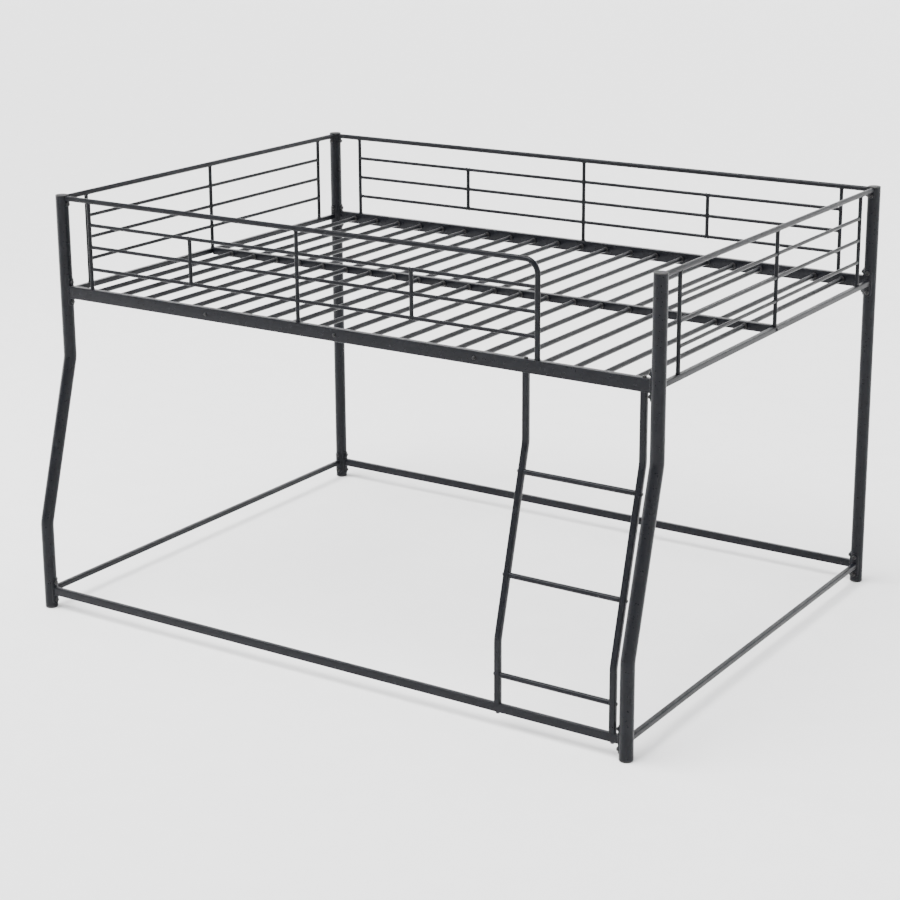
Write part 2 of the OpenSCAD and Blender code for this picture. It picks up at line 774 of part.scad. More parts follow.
module guard_bolts() {
    color(fixing_black) for (side = POSTS, way = [ALONG, ACROSS])
        if (way == ACROSS || side != front_right) facing(side, way, guard_bolt_z) post_bolt();
}

module post_nuts() {
    color(fixing_black) for (side = POSTS) at_post_bolts(side)
        translate([0, 0, nut_face - nut_l]) sleeve(nut_l, nut_d, bolt_d + 2 * fit_gap);
}

module beam_bolts() {
    color(fixing_black) for (way = [-1, 1])
        translate([way * (post_x + end_rail_s / 2 + seat_gap), deck_y, rail_z])
            rotate([0, way * 90, 0]) slim_bolt(beam_bolt_l);
}

front_post(front_left);  // post_front_left
front_post(front_right);  // post_front_right
back_post(back_left);  // post_back_left
back_post(back_right);  // post_back_right
post_caps();
foot(front_left);  // foot_front_left
foot(front_right);  // foot_front_right
foot(back_left);  // foot_back_left
foot(back_right);  // foot_back_right
side_rail(-1);  // side_rail_front
side_rail(1);  // side_rail_back
end_rail(-1);  // end_rail_left
end_rail(1);  // end_rail_right
deck_beam();
floor_side_rail(-1);  // floor_rail_front
floor_side_rail(1);  // floor_rail_back
floor_end_rail(-1);  // floor_rail_left
floor_end_rail(1);  // floor_rail_right
guard_front();
guard_back();
end_guard(-1);  // guard_left
end_guard(1);  // guard_right
ladder_stile(left_stile_x);  // ladder_stile_left
ladder_stile(right_stile_x);  // ladder_stile_right
for (i = [1:rung_count]) ladder_rung(i);
for (i = [1:slat_count]) slat(i);
slat_plugs();
slat_tie_bolts();
slat_tie_inserts();
beam_bolts();
upper_rail_bolts();
floor_rail_bolts();
guard_bolts();
post_nuts();
rung_bolts();
stile_top_bolts();
stile_foot_bolts();
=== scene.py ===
"""Bunk bed with ladder: the visible surfaces and finishes of a knock-down frame of steel tube.

The CAD frame gives the place and the outer size of every piece. BedSizes gives what a box doesn't
tell, such as the walls, the bends and the guards' bars. This file makes the tubes round, and adds
weld beads, turned bolt heads, moulded caps, feet and collars, the finishes and the studio.
Lengths are in metres. X runs along the bed, Y from front to back and Z up.
"""

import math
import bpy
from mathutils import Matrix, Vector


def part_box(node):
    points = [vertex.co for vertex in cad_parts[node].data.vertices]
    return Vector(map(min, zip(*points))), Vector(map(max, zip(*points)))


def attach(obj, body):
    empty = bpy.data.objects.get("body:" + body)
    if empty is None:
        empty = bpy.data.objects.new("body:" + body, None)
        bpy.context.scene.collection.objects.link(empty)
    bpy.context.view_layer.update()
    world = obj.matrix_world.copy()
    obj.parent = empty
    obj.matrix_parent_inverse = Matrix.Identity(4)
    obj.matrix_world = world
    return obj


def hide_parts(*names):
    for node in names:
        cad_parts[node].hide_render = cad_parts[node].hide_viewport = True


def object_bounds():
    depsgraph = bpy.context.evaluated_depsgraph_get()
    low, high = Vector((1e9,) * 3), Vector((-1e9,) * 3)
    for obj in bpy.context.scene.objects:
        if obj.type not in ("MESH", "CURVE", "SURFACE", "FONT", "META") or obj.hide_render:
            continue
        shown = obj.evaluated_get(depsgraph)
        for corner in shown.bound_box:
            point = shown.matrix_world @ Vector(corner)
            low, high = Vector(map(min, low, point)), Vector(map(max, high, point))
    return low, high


bl_info = {
    "name": "Bunk Bed with Ladder",
    "version": (1, 0, 0),
    "blender": (4, 5, 0),
    "location": "3D View > Sidebar > Bunk Bed",
    "description": "Builds the tubes, welds, fixings and finishes of a steel bunk bed",
    "category": "Add Mesh",
}

import bmesh
import bpy
import numpy as np
from bpy.props import FloatProperty, FloatVectorProperty, IntProperty, PointerProperty
from mathutils import Matrix, Vector

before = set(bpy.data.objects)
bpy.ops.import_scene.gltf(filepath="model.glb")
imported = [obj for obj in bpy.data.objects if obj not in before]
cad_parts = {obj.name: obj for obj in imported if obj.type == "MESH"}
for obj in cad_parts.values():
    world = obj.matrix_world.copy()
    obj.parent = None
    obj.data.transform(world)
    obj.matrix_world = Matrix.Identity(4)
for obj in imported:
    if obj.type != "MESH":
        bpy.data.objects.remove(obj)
CAD_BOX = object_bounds()

X, Y, Z = np.eye(3)
NODES = sorted(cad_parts)
SLATS = [name for name in NODES if name.startswith("slat_") and name[5:].isdigit()]
RUNGS = [name for name in NODES if name.startswith("ladder_rung_")]

# Facets, rows and points of each kind of part
POST_SIDES, RUNG_SIDES, MOULDING_SIDES, COLLAR_SIDES, BOLT_SIDES = 64, 48, 56, 24, 36
SADDLE_SIDES, SADDLE_ROWS = 36, 6
BEAD_SIDES, BEAD_POINTS = 8, 56
RAIL_BEAD_POINTS, RAIL_BEAD_RIPPLES = 72, 22
BEND_STEPS, RIM_ROWS, DOME_ROWS, SWEEP_ROWS = 14, 8, 7, 24
FRONT_UPRIGHTS = 4
POINT_DECIMALS = 6  # CAD points that agree to this many decimals are one

MERGE_DISTANCE = 1e-7  # points nearer than this are one
NEARLY_UPRIGHT = 0.9  # an axis with more of Z in it than this counts as upright
ROUND_MIDDLE = 0.3  # how far the middle of a rounded edge stands in, as a share of the edge
CHAMFER = 0.0006  # on the ends of plugs, spigots and shanks
STRAIGHT_SHARE = 0.9  # share of a rail's length that stays clear of its cut ends
BEAD_SWELL = 0.22  # how much a bead swells and thins, as a share of its radius
BEAD_STAND = 1.25  # height of the bead at a tube's foot, in radii of the bead
BEAD_LIFT = 1e-5  # how far the beads on an upright stand off it

CAP_RIM_SHARE = 0.55  # share of a cap's or a foot's thickness that its rounded rim takes
PLUG_WALL, PLUG_FLOOR = 0.002, 0.001
COLLAR_WALL, COLLAR_ROUND, COLLAR_EDGE = 0.0019, 0.0008, 0.0004

# A bolt's socket in shares of its shank's radius and its head's thickness, and the width of the
# flat and the height of the dome in shares of the head's
SOCKET_RADIUS, SOCKET_DEPTH, HEAD_FLAT, HEAD_DOME = 0.62, 0.6, 0.72, 0.8
SOCKET_BEVEL_DEPTH, SOCKET_BEVEL_WIDTH = 0.0002, 0.0004
BOLT_SMOOTH_ANGLE = 30

ROOM_COLOUR = (0.98, 0.985, 1.0, 1)
OVERHEAD_PLACE, SOFTBOX_PLACE = Vector((-0.8, -1.2, 4.5)), Vector((-4.6, -1.6, 2.2))
SOFTBOX_WIDTH, SOFTBOX_HEIGHT = 1.2, 3.4
FLOOR_FLAT, FLOOR_SWEEP, FLOOR_TOP, FLOOR_HUB, FLOOR_SPOKES = 40.0, 30.0, 60.0, 0.01, 96


# ---- Settings ----


def length_setting(name, description, default):
    """A setting that is a length."""
    return FloatProperty(name=name, description=description, default=default, unit="LENGTH")


def angle_setting(name, description, degrees):
    """A setting that is an angle, given in degrees."""
    return FloatProperty(name=name, description=description, default=math.radians(degrees),
                         subtype="ANGLE")


def colour_setting(name, description, default):
    """A setting that is a colour."""
    return FloatVectorProperty(name=name, description=description, default=default, subtype="COLOR",
                               min=0, max=1)


class BedSizes(bpy.types.PropertyGroup):
    """Sizes of the bed's sections and of the details that the frame leaves to the looks"""

    post_wall: length_setting("Post wall", "Wall of a post", 0.0015)
    post_bend_radius: length_setting(
        "Post bend radius", "Centreline radius of a front post's bends", 0.080)
    post_low_bend: length_setting("Lower post bend", "Height of a front post's lower bend", 0.281)
    post_high_bend: length_setting("Upper post bend", "Height of a front post's upper bend", 0.790)
    side_rail_height: length_setting("Side rail height", "Height of the upper side rails", 0.038)
    side_rail_width: length_setting("Side rail width", "Width of the upper side rails", 0.020)
    end_rail_side: length_setting(
        "End rail side", "Side of the square end rails, upper and floor", 0.016)
    floor_rail_height: length_setting("Floor rail height", "Height of the long floor rails", 0.025)
    floor_rail_width: length_setting("Floor rail width", "Width of the long floor rails", 0.015)
    rail_wall: length_setting("Rail wall", "Wall of the rails, guards and ladder", 0.0012)
    rail_corner: length_setting("Rail corner", "Outside corner radius of the rails", 0.0022)
    plate_thickness: length_setting(
        "Plate thickness", "Thickness of the plates curved to the posts", 0.0025)
    plate_width: length_setting("Plate width", "Width of the plates on the rails", 0.026)
    plate_edge: length_setting("Plate edge", "Size of the rounded edge of the plates", 0.0006)
    end_plate: length_setting(
        "End plate", "Thickness of the plates in the ends of the stiles and the beam", 0.003)
    seat_gap: length_setting(
        "Seat gap", "Clearance between a post and what is bolted to it", 0.0001)
    guard_top: length_setting("Guard top tube", "Diameter of a guard's top tube", 0.016)
    guard_upright: length_setting("Guard upright", "Diameter of a guard's uprights", 0.012)
    guard_bar: length_setting("Guard bar", "Diameter of a guard's long bars", 0.011)
    guard_first_gap: length_setting(
        "First guard gap", "Distance from a guard's top tube to its highest bar", 0.0735)
    guard_pitch: length_setting("Guard pitch", "Distance between a guard's bars", 0.069)
    guard_bars: IntProperty(
        name="Guard bars", description="Number of long bars in a guard", default=3)
    guard_end_gap: length_setting(
        "Guard end gap", "Distance from a post's axis to a guard's nearest upright", 0.108)
    front_bay: length_setting("Front bay", "Distance between the front guard's uprights", 0.396)
    guard_bend_radius: length_setting(
        "Guard bend radius", "Centreline radius of the front guard's bent end", 0.040)
    tab_width: length_setting("Tab width", "Width of the tabs under the guards' ends", 0.018)
    bead_radius: length_setting("Bead radius", "Radius of a weld bead", 0.0014)
    slat_wall: length_setting("Slat wall", "Wall of a slat", 0.001)
    stile_depth: length_setting("Stile depth", "Depth of a ladder stile", 0.015)
    stile_corner: length_setting("Stile corner", "Outside corner radius of a stile", 0.003)
    stile_bend_radius: length_setting(
        "Stile bend radius", "Centreline radius of a stile's bends", 0.070)
    stile_low_bend: length_setting("Lower stile bend", "Height of a stile's lower bend", 0.256)
    stile_high_bend: length_setting("Upper stile bend", "Height of a stile's upper bend", 0.785)
    plug_depth: length_setting("Plug depth", "How far a cap or a foot reaches into a post", 0.012)
    collar_base: length_setting("Collar base", "Thickness of a collar's base under its slat", 0.003)
    round_sides: IntProperty(
        name="Round sides", description="Facets round a tube", default=40, min=16, max=96)


class BedFinishes(bpy.types.PropertyGroup):
    """Colours and surfaces of the bed's finishes"""

    coat_colour: colour_setting(
        "Coat colour", "Colour of the powder coat", (0.0036, 0.0041, 0.0060))
    coat_roughness: FloatProperty(
        name="Coat roughness", description="Roughness of the powder coat", subtype="FACTOR",
        default=0.31, min=0, max=1)
    coat_specular: FloatProperty(
        name="Coat specular", description="Strength of the powder coat's reflections",
        subtype="FACTOR", default=0.16, min=0, max=1)
    peel_depth: length_setting("Peel depth", "Depth of the powder coat's orange peel", 0.00006)
    plastic_colour: colour_setting(
        "Plastic colour", "Colour of the caps, feet and collars", (0.006, 0.006, 0.0064))
    fixing_colour: colour_setting(
        "Fixing colour", "Colour of the bolts and nuts", (0.007, 0.007, 0.0075))


class StudioSettings(bpy.types.PropertyGroup):
    """The floor, lights and camera, none of which are part of the bed"""

    floor_colour: colour_setting("Floor colour", "Colour of the studio floor", (0.93, 0.93, 0.93))
    room_brightness: FloatProperty(
        name="Room brightness", description="Strength of the light from all round", default=0.6)
    overhead_strength: FloatProperty(
        name="Overhead strength", description="Strength of the broad light overhead", default=7.0)
    overhead_spread: angle_setting(
        "Overhead spread", "Width of the broad light overhead, as an angle", 42)
    softbox_power: FloatProperty(
        name="Softbox power", description="Power of the tall softbox on the left", default=150, unit="POWER")
    azimuth: angle_setting("Azimuth", "Turn of the camera round the bed from its front", 33.08)
    elevation: angle_setting("Elevation", "Angle of the camera above the horizon", 15.05)
    roll: angle_setting("Roll", "Turn of the camera about its own line of sight", 0.31)
    distance: length_setting("Distance", "Distance from the camera to the point it looks at", 6.636)
    aim: FloatVectorProperty(
        name="Aim", description="The point the camera looks at, from the middle of the bed's box",
        default=(-0.038, 0.011, 0.118), subtype="TRANSLATION")
    lens: FloatProperty(
        name="Lens", description="Focal length of the camera", default=84.39, unit="CAMERA")
    lens_shift: FloatProperty(
        name="Lens shift", description="Shift of the lens, which makes the posts converge less",
        default=-0.10)


# ---- Surfaces: each is (points, quads), closed and facing outwards ----


def unit(vectors):
    """Vectors at length one."""
    return vectors / np.linalg.norm(vectors, axis=-1, keepdims=True)


def closed_surface(grid, ring=False):
    """The closed surface over a grid of points whose columns meet. With ring, the rows meet too.

    Neighbouring rows and columns share a quad. The quads are turned to face outwards, which
    they do when the signed volumes of the wedges from the middle add up to more than nothing.
    """
    rows, columns = grid.shape[:2]
    i, j = np.meshgrid(np.arange(rows if ring else rows - 1), np.arange(columns), indexing="ij")
    up, beside = (i + 1) % rows, (j + 1) % columns
    quads = np.stack([i * columns + j, i * columns + beside, up * columns + beside, up * columns + j], -1)
    points, quads = grid.reshape(-1, 3), quads.reshape(-1, 4)
    a, b, c, d = ((points - points.mean(0))[quads[:, k]] for k in range(4))
    volume = np.sum(a * np.cross(b, c)) + np.sum(a * np.cross(c, d))
    return points, quads if volume > 0 else quads[:, ::-1]


def wall(outer, inner):
    """The wall between two grids of the same shape: up the outer one and back down the inner."""
    return closed_surface(np.concatenate([outer, inner[::-1]]), ring=True)


def circle(radius, sides):
    """Points of a circle: radius times the cosine and sine of evenly spaced angles."""
    angle = np.arange(sides) * 2 * np.pi / sides
    return radius * np.stack([np.cos(angle), np.sin(angle)], -1)


def rounded_outline(width, height, corner, steps=4):
    """A rectangle with quarter-circle corners: each quarter's centre plus its arc."""
    turn = np.arange(4)[:, None] * np.pi / 2 + np.linspace(0, np.pi / 2, steps + 1)
    sign = np.array([[1, 1], [-1, 1], [-1, -1], [1, -1]])[:, None]
    centre = sign * (np.array([width, height]) / 2 - corner)
    return (centre + corner * np.stack([np.cos(turn), np.sin(turn)], -1)).reshape(-1, 2)


def carried(outline, path, across, upwards):
    """A flat outline carried along a path: each path point plus the outline's two coordinates
    times two directions, which are each one for the whole path or one for every point."""
    across, upwards = (np.atleast_2d(way)[:, None] for way in (across, upwards))
    return path[:, None] + outline[..., :1] * across + outline[..., 1:] * upwards


def directions(axis):
    """Two directions square to an axis and to each other."""
    helper = X if abs(axis[2]) > NEARLY_UPRIGHT else Z
    across = unit(np.cross(helper, axis))
    return across, np.cross(axis, across)


def straight_tube(start, end, radius, thickness, sides):
    """A round tube between two points."""
    path = np.array([start, end], float)
    across, upwards = directions(unit(path[1] - path[0]))
    return wall(*(carried(circle(r, sides), path, across, upwards) for r in (radius, radius - thickness)))


def end_plate(outline, end, inward, thickness, across, upwards, inset=0.0001):
    """The plate in the end of a tube: its outline twice, a thickness apart and just inside the
    end, with each face drawn in to its middle."""
    share = np.array([0, 1, 1, 0])[:, None, None]
    path = end + (inset + np.array([0, 0, 1, 1])[:, None] * thickness) * inward
    return closed_surface(carried(share * outline, path, across, upwards))


def turned(centre, axis, distance, radius, sides, hexagon=None):
    """A solid turned about an axis: at each distance along it a ring of that radius. Where
    hexagon is 1 the ring is a hexagon, whose radius grows by the secant between its flats."""
    angle = np.arange(sides) * 2 * np.pi / sides
    share = np.zeros(len(distance)) if hexagon is None else np.array(hexagon, float)
    secant = np.cos(np.pi / 6) / np.cos((angle + np.pi / 6) % (np.pi / 3) - np.pi / 6)
    ring = np.array(radius, float)[:, None] * (1 + share[:, None] * (secant - 1))
    across, upwards = directions(axis)
    spread = np.cos(angle)[:, None] * across + np.sin(angle)[:, None] * upwards
    grid = centre + np.array(distance)[:, None, None] * axis + ring[..., None] * spread
    return closed_surface(grid)


def bead(loop, away, radius, ripples=14):
    """A weld bead along a closed loop: a small circle square to the loop, swelling and thinning
    by a sine as it goes round."""
    tangent = unit(np.roll(loop, -1, 0) - np.roll(loop, 1, 0))
    side = unit(away - np.sum(away * tangent, -1, keepdims=True) * tangent)
    phase = np.arange(len(loop)) * 2 * np.pi * ripples / len(loop)
    section = circle(radius, BEAD_SIDES) * (1 + BEAD_SWELL * np.sin(phase))[:, None, None]
    return closed_surface(carried(section, loop, side, np.cross(tangent, side)), ring=True)


def joint_bead(centre, branch, run, branch_radius, run_radius, radius):
    """A bead where a branch tube meets the round of a larger one that runs past it. At an angle
    round the branch, its foot stands off the run's axis by the root of run_radius squared less
    the square of how far that point lies to the side."""
    angle = np.arange(BEAD_POINTS) * 2 * np.pi / BEAD_POINTS
    side = np.cross(branch, run)
    away = np.cos(angle)[:, None] * run + np.sin(angle)[:, None] * side
    lift = np.sqrt(run_radius**2 - (branch_radius * np.sin(angle)) ** 2)
    return bead(centre + branch_radius * away + lift[:, None] * branch, away, radius)


def saddle(axis_point, outward, height, half_spine, radius, seat, thickness, edge):
    """A plate curved to a post. Its outline is a half circle at each end of an upright spine,
    and a point beside the spine lies on the seat's round, out by the root of the seat's radius
    squared less the square of its own distance to the side."""
    angle = (np.arange(SADDLE_SIDES) + 0.5) * 2 * np.pi / SADDLE_SIDES
    face = seat + thickness
    inner = np.linspace(0, 1, SADDLE_ROWS)
    outer = np.append(1.0, 1 - edge / radius * np.array([ROUND_MIDDLE, 1.0]))
    share = np.concatenate([inner, outer, np.linspace(outer[-1], 0, SADDLE_ROWS)[1:]])
    round_to = np.concatenate([np.full(SADDLE_ROWS, seat), face - edge * np.array([1.0, ROUND_MIDDLE, 0.0]),
                               np.full(SADDLE_ROWS - 1, face)])
    up = half_spine * np.sign(np.cos(angle)) + radius * share[:, None] * np.cos(angle)
    sideways = radius * share[:, None] * np.sin(angle)
    out = np.sqrt(round_to[:, None] ** 2 - sideways**2)
    grid = (axis_point + (height + up)[..., None] * Z + out[..., None] * outward
            + sideways[..., None] * np.cross(Z, outward))
    return closed_surface(grid)


def bend_path(foot, head, low, high, radius):
    """Points and leans of a tube that rises from foot to head, both seen from the side as Y and
    Z, and crosses over between the heights low and high. It turns on arcs of one radius; an arc
    reaches the radius times the tangent of half the lean beyond its corner."""
    run = head[0] - foot[0]
    lean = math.atan2(run, high - low)
    reach = radius * math.tan(lean / 2)
    turn = np.linspace(0, lean, BEND_STEPS)
    lower = [foot[0] + radius * (1 - np.cos(turn)), low - reach + radius * np.sin(turn)]
    upper = [head[0] - radius * (1 - np.cos(turn)), high + reach - radius * np.sin(turn)]
    y = np.concatenate([[foot[0]], lower[0], upper[0][::-1], [head[0]]])
    z = np.concatenate([[foot[1]], lower[1], upper[1][::-1], [head[1]]])
    return y, z, np.concatenate([[0], turn, turn[::-1], [0]])


def bent_wall(x, path, outer, inner):
    """The wall of a tube along such a path at x, its outlines leaning with it."""
    y, z, lean = path
    centres = np.stack([np.full(len(y), x), y, z], -1)
    leaning = np.stack([np.zeros(len(y)), np.cos(lean), -np.sin(lean)], -1)
    return wall(*(carried(outline, centres, X, leaning) for outline in (outer, inner)))


# ---- Places from the frame ----


def node_box(name):
    """A CAD node's lowest and highest corner as arrays."""
    low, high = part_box(name)
    return np.array(low), np.array(high)


def islands(name):
    """The points of each separate solid of a CAD node. Every point takes the smallest number
    among the triangles it belongs to, over and over, until a solid's points share one."""
    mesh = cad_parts[name].data
    points = np.empty(len(mesh.vertices) * 3)
    mesh.vertices.foreach_get("co", points)
    mesh.calc_loop_triangles()
    triangles = np.empty(len(mesh.loop_triangles) * 3, np.int32)
    mesh.loop_triangles.foreach_get("vertices", triangles)
    points, same = np.unique(np.round(points.reshape(-1, 3), POINT_DECIMALS), axis=0,
                             return_inverse=True)
    triangles = same.reshape(-1)[triangles].reshape(-1, 3)
    label = np.arange(len(points))
    while True:
        smallest = label.copy()
        np.minimum.at(smallest, triangles.ravel(), np.repeat(label[triangles].min(1), 3))
        smallest = smallest[smallest]
        if np.array_equal(smallest, label):
            return [points[label == k] for k in np.unique(label)]
        label = smallest


class Bed:
    """The posts' radius, and the lines of their heads, which the rails and guards share."""

    def __init__(self):
        low, high = node_box("post_front_left")
        back_low, back_high = node_box("post_back_right")
        self.post_radius = (high[0] - low[0]) / 2
        self.post_x = back_high[0] - self.post_radius
        self.front_y = high[1] - self.post_radius
        self.back_y = (back_low[1] + back_high[1]) / 2


# ---- Pieces ----


def settings(context):
    """The scene's sizes for the bed."""
    return context.scene.bed_sizes


def make_piece(name, surfaces, material, nodes, smooth_angle=38):
    """Joins closed surfaces into one object at the origin, closes their poles, shades it smooth
    below an angle, and puts it on the bed in place of the CAD nodes."""
    counts = np.cumsum([0] + [len(points) for points, _ in surfaces])
    points = np.concatenate([p for p, _ in surfaces])
    quads = np.concatenate([q + start for (_, q), start in zip(surfaces, counts)])
    mesh = bpy.data.meshes.new(name)
    mesh.from_pydata(points, [], quads)
    work = bmesh.new()
    work.from_mesh(mesh)
    bmesh.ops.remove_doubles(work, verts=work.verts, dist=MERGE_DISTANCE)
    work.to_mesh(mesh)
    work.free()
    mesh.shade_smooth()
    mesh.set_sharp_from_angle(angle=math.radians(smooth_angle))
    mesh.materials.append(material)
    piece = bpy.data.objects.new(name, mesh)
    bpy.context.scene.collection.objects.link(piece)
    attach(piece, "root")
    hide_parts(*nodes)
    return piece


def post(bed, size, name):
    """A post's tube, bent where its foot stands in front of its head."""
    low, high = node_box(name)
    x, radius = (low[0] + high[0]) / 2, bed.post_radius
    foot, head = (low[1] + radius, low[2]), (high[1] - radius, high[2])
    if head[0] - foot[0] < radius:
        return straight_tube([x, *foot], [x, *head], radius, size.post_wall, POST_SIDES)
    path = bend_path(foot, head, size.post_low_bend, size.post_high_bend, size.post_bend_radius)
    return bent_wall(x, path, circle(radius, POST_SIDES), circle(radius - size.post_wall, POST_SIDES))


def rail(bed, size, name, width, height, seated=True):
    """A hollow rail along its node's length, its rounded outline carried from end to end. Seated
    on posts, each end is cut back to the round of its saddle plate, which is added with a bead
    round the rail. Otherwise a flat plate closes each end."""
    low, high = node_box(name)
    run = X if high[0] - low[0] > high[1] - low[1] else Y
    side = np.cross(Z, run)
    middle = (low + high) / 2
    reach = (high - low) @ run / 2
    seat = bed.post_radius + size.seat_gap
    outer = rounded_outline(width, height, size.rail_corner)
    inner = rounded_outline(width - 2 * size.rail_wall, height - 2 * size.rail_wall,
                            size.rail_corner - size.rail_wall)
    axis_reach = reach + math.sqrt(seat**2 - (size.plate_width / 2) ** 2) if seated else reach
    ends = np.array([-1, -STRAIGHT_SHARE, STRAIGHT_SHARE, 1])
    grids = []
    for outline in (outer, inner):
        grid = carried(outline, middle + ends[:, None] * axis_reach * run, side, Z)
        if seated:
            cut = np.sqrt((seat + size.plate_thickness / 2) ** 2 - outline[:, 0] ** 2)
            grid[[0, -1]] -= np.array([-1, 1])[:, None, None] * cut[None, :, None] * run
        grids.append(grid)
    surfaces = [wall(*grids)]
    if not seated:
        plate = rounded_outline(width - size.rail_wall, height - size.rail_wall,
                                size.rail_corner - size.rail_wall / 2)
        return surfaces + [end_plate(plate, middle + way * reach * run, -way * run, size.end_plate, side, Z)
                           for way in (-1, 1)]
    plate_radius = size.plate_width / 2
    half_spine = (high[2] - low[2]) / 2 - plate_radius
    for way in (-1, 1):
        post_axis = (middle + way * axis_reach * run) * (1, 1, 0)
        surfaces.append(saddle(post_axis, -way * run, middle[2], half_spine, plate_radius, seat,
                               size.plate_thickness, size.plate_edge))
        face = np.sqrt((seat + size.plate_thickness) ** 2 - outer[:, 0] ** 2)
        loop = (post_axis + middle[2] * Z + outer[:, :1] * side + outer[:, 1:] * Z
                - way * face[:, None] * run)
        away = unit(outer)[:, :1] * side + unit(outer)[:, 1:] * Z
        surfaces.append(bead(*evenly(loop, away, RAIL_BEAD_POINTS), size.bead_radius, RAIL_BEAD_RIPPLES))
    return surfaces


def evenly(loop, away, count):
    """A closed loop and its outward directions, drawn again at evenly spaced lengths."""
    closed, aside = np.vstack([loop, loop[:1]]), np.vstack([away, away[:1]])
    length = np.concatenate([[0], np.cumsum(np.linalg.norm(np.diff(closed, axis=0), axis=1))])
    at = np.arange(count) * length[-1] / count
    loop, away = (np.stack([np.interp(at, length, a[:, k]) for k in range(3)], -1) for a in (closed, aside))
    return loop, unit(away)


def tab(bed, size, post_axis, outward, bolt_height, top):
    """The tab under a guard's end: a plate curved to the post, from below its bolt to the tube."""
    radius = size.tab_width / 2
    half_spine = (top - bolt_height - radius) / 2
    return saddle(post_axis, outward, (top + bolt_height - radius) / 2, half_spine, radius,
                  bed.post_radius + size.seat_gap, size.plate_thickness, size.plate_edge)


def guard(bed, size, name, run, start, tube_ends, bar_ends, full, short, tabs):
    """A guard of welded tube in one upright plane. start is a point of the plane, and places
    along the guard are distances from it towards run. tube_ends and bar_ends are where the top
    tube and the bars begin and end, without tube_ends where the top tube is bent and made apart.
    Full uprights reach the top tube, short ones only the bars."""
    low, high = node_box(name)
    top = high[2] - size.guard_top / 2
    bars = bar_heights(size, top)
    start = start * (1, 1, 0)

    def at(along, height):
        return start + along * run + height * Z

    def tube(begin, end, diameter):
        return straight_tube(begin, end, diameter / 2, size.rail_wall, size.round_sides)

    surfaces = [tube(at(tube_ends[0], top), at(tube_ends[1], top), size.guard_top)] if tube_ends else []
    surfaces += [tube(at(bar_ends[0], z), at(bar_ends[1], z), size.guard_bar) for z in bars]
    for u in full:
        surfaces.append(tube(at(u, low[2]), at(u, top), size.guard_upright))
        surfaces.append(joint_bead(at(u, top), -Z, run, size.guard_upright / 2, size.guard_top / 2,
                                   size.bead_radius))
        surfaces.append(foot_bead(at(u, low[2]), size.guard_upright / 2, size.bead_radius))
    for u in short:
        surfaces.append(tube(at(u, bars[-1]), at(u, bars[0]), size.guard_upright))
    for u in [*full, *short]:
        for way in (-1, 1):
            if bar_ends[0] <= u + way * size.guard_upright <= bar_ends[1]:
                surfaces += [joint_bead(at(u, z), way * run, Z, size.guard_bar / 2,
                                        size.guard_upright / 2 + BEAD_LIFT, size.bead_radius)
                             for z in bars]
    for post_axis, outward in tabs:
        surfaces.append(tab(bed, size, post_axis * (1, 1, 0), outward, guard_bolt_height(),
                            top + size.guard_top / 4))
    return surfaces


def bar_heights(size, top):
    """The heights of a guard's long bars under its top tube."""
    return top - size.guard_first_gap - size.guard_pitch * np.arange(size.guard_bars)


def foot_bead(foot, tube_radius, radius):
    """The bead round the foot of an upright tube that stands on a rail, just clear of the rail."""
    away = np.pad(circle(1, BEAD_POINTS), ((0, 0), (0, 1)))
    return bead(foot + BEAD_STAND * radius * Z + tube_radius * away, away, radius)


def guard_bolt_height():
    """The height of the bolts in the guards' tabs, from the bolts themselves."""
    low, high = node_box("guard_bolts")
    return (low[2] + high[2]) / 2


class BedOperator(bpy.types.Operator):
    """What the operators of the bed share"""

    bl_options = {"REGISTER", "UNDO"}


class BUNK_OT_posts(BedOperator):
    """Builds the four posts, the front ones bent forward twice"""

    bl_idname = "bunk.posts"
    bl_label = "Posts"

    def execute(self, context):
        bed, size = Bed(), settings(context)
        for name in [n for n in NODES if n.startswith(("post_front", "post_back"))]:
            make_piece(f"{name}_tube", [post(bed, size, name)], powder_coat(context), [name])
        return {"FINISHED"}


class BUNK_OT_caps_and_feet(BedOperator):
    """Builds the moulded caps on the posts and the feet under them"""

    bl_idname = "bunk.caps_and_feet"
    bl_label = "Caps and feet"

    def execute(self, context):
        bed, size = Bed(), settings(context)
        plastic = moulded_plastic(context)
        caps = [moulding(bed, size, cap, Z) for cap in islands("post_caps")]
        make_piece("post_caps_moulded", caps, plastic, ["post_caps"])
        for name in [n for n in NODES if n.startswith("foot_")]:
            make_piece(f"{name}_moulded", [moulding(bed, size, islands(name)[0], -Z)], plastic,
                       [name])
        return {"FINISHED"}


def moulding(bed, size, points, outward):
    """A cap or a foot: a disc with a rounded rim, and a hollow plug behind it. The rim is a
    quarter of an ellipse between the face and the side."""
    low, high = points.min(0), points.max(0)
    face = np.array([*(low + high)[:2] / 2, high[2] if outward[2] > 0 else low[2]])
    depth = high[2] - low[2]
    lip = depth - size.plug_depth
    rim = lip * CAP_RIM_SHARE
    radius = bed.post_radius
    plug = radius - size.post_wall - size.seat_gap
    arc = np.linspace(0, np.pi / 2, RIM_ROWS)
    hollow = plug - PLUG_WALL
    distance = np.concatenate([[0, 0], rim * (1 - np.cos(arc)), [
        lip, lip, depth - CHAMFER, depth, depth, lip + PLUG_FLOOR, lip + PLUG_FLOOR]])
    rings = np.concatenate([[0, radius / 2], radius - rim + rim * np.sin(arc), [
        radius, plug, plug, plug - CHAMFER, hollow, hollow, 0]])
    return turned(face, -outward, distance, rings, MOULDING_SIDES)


